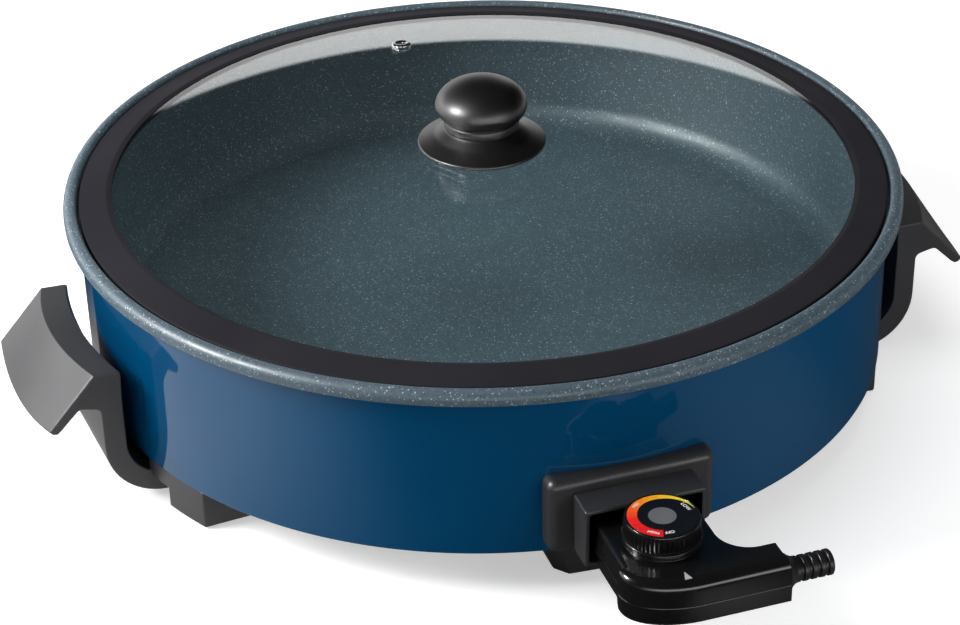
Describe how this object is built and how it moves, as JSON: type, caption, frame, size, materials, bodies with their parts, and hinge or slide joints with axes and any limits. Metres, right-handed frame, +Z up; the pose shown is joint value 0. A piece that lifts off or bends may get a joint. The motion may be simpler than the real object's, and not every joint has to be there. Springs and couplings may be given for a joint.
{
  "type": "electric skillet",
  "caption": "Round electric skillet with a lift-off glass lid, side handles that end in feet, and a plug-in temperature controller with a turning dial.",
  "frame": {"origin": "on the pan's axis in the plane of the table, under the foot pads", "axes": "+Z up along the pan's axis, -Y towards the temperature controller, +X towards the right handle and the cord"},
  "size_m": [0.442, 0.4343, 0.1429],
  "materials": {
    "nonstick": "speckled non-stick coating, satin",
    "blue_paint": "gloss",
    "plain_steel": "satin",
    "element_steel": "heat-darkened",
    "bright_steel": "bright",
    "ceramic": "unglazed",
    "phenolic": "satin moulded",
    "black_gloss": "gloss",
    "satin_black": "satin",
    "silicone_dark": "matte",
    "silicone_pale": "matte",
    "foot_rubber": "matte",
    "glass": "clear tempered",
    "brass": "plain",
    "legend": "gloss with a printed scale"
  },
  "bodies": {
    "base": {"pan": "nonstick", "outer_skirt": "blue_paint", "bottom_cover": "plain_steel", "pan_studs": "plain_steel", "heating_element": "element_steel", "terminal_pins": "bright_steel", "pin_bushings": "ceramic", "terminal_bracket": "plain_steel", "probe_guide": "plain_steel", "shroud": "phenolic", "shroud_screws": "bright_steel", "left_handle": "phenolic", "right_handle": "phenolic", "front_foot": "phenolic", "foot_screws": "bright_steel", "foot_pads": "foot_rubber"},
    "lid": {"lid_glass": "glass", "lid_rim": "silicone_dark", "steam_vent": "bright_steel", "knob_gasket": "silicone_pale", "knob_base": "satin_black", "knob_cap": "satin_black", "knob_insert": "brass", "knob_washer": "bright_steel", "knob_screw": "bright_steel"},
    "controller": {"case_top": "black_gloss", "case_bottom": "black_gloss", "case_screws": "bright_steel", "probe_rod": "bright_steel", "socket_left": "brass", "socket_right": "brass", "socket_block": "phenolic", "thermostat_frame": "plain_steel", "lower_leaf": "brass", "upper_leaf": "brass", "bimetal_blade": "plain_steel", "contact_points": "bright_steel", "leaf_insulators": "ceramic", "stack_screw": "plain_steel", "link_strips": "brass", "strain_relief": "satin_black"},
    "dial": {"dial": "black_gloss", "dial_disc": "legend", "dial_shaft": "plain_steel"},
    "cam_pin": {"cam_pin": "ceramic"}
  },
  "joints": [
    {"name": "lid_lift", "type": "slide", "parent": "base", "child": "lid", "axis": [0, 0, 1], "range_m": [0, 0.12]},
    {"name": "controller_pull", "type": "slide", "parent": "base", "child": "controller", "axis": [0, -1, 0], "range_m": [0, 0.09]},
    {"name": "dial_turn", "type": "hinge", "parent": "controller", "child": "dial", "pos_m": [0, -0.2162, 0.05], "axis": [0, 0, -1], "range_deg": [0, 321]},
    {"name": "cam_pin_slide", "type": "slide", "parent": "controller", "child": "cam_pin", "axis": [0, -1, 0], "range_m": [0, 0.001]}
  ],
  "couplings": [
    {"joint": "cam_pin_slide", "follows": "dial_turn", "m_per_rad": 0.000178}
  ]
}
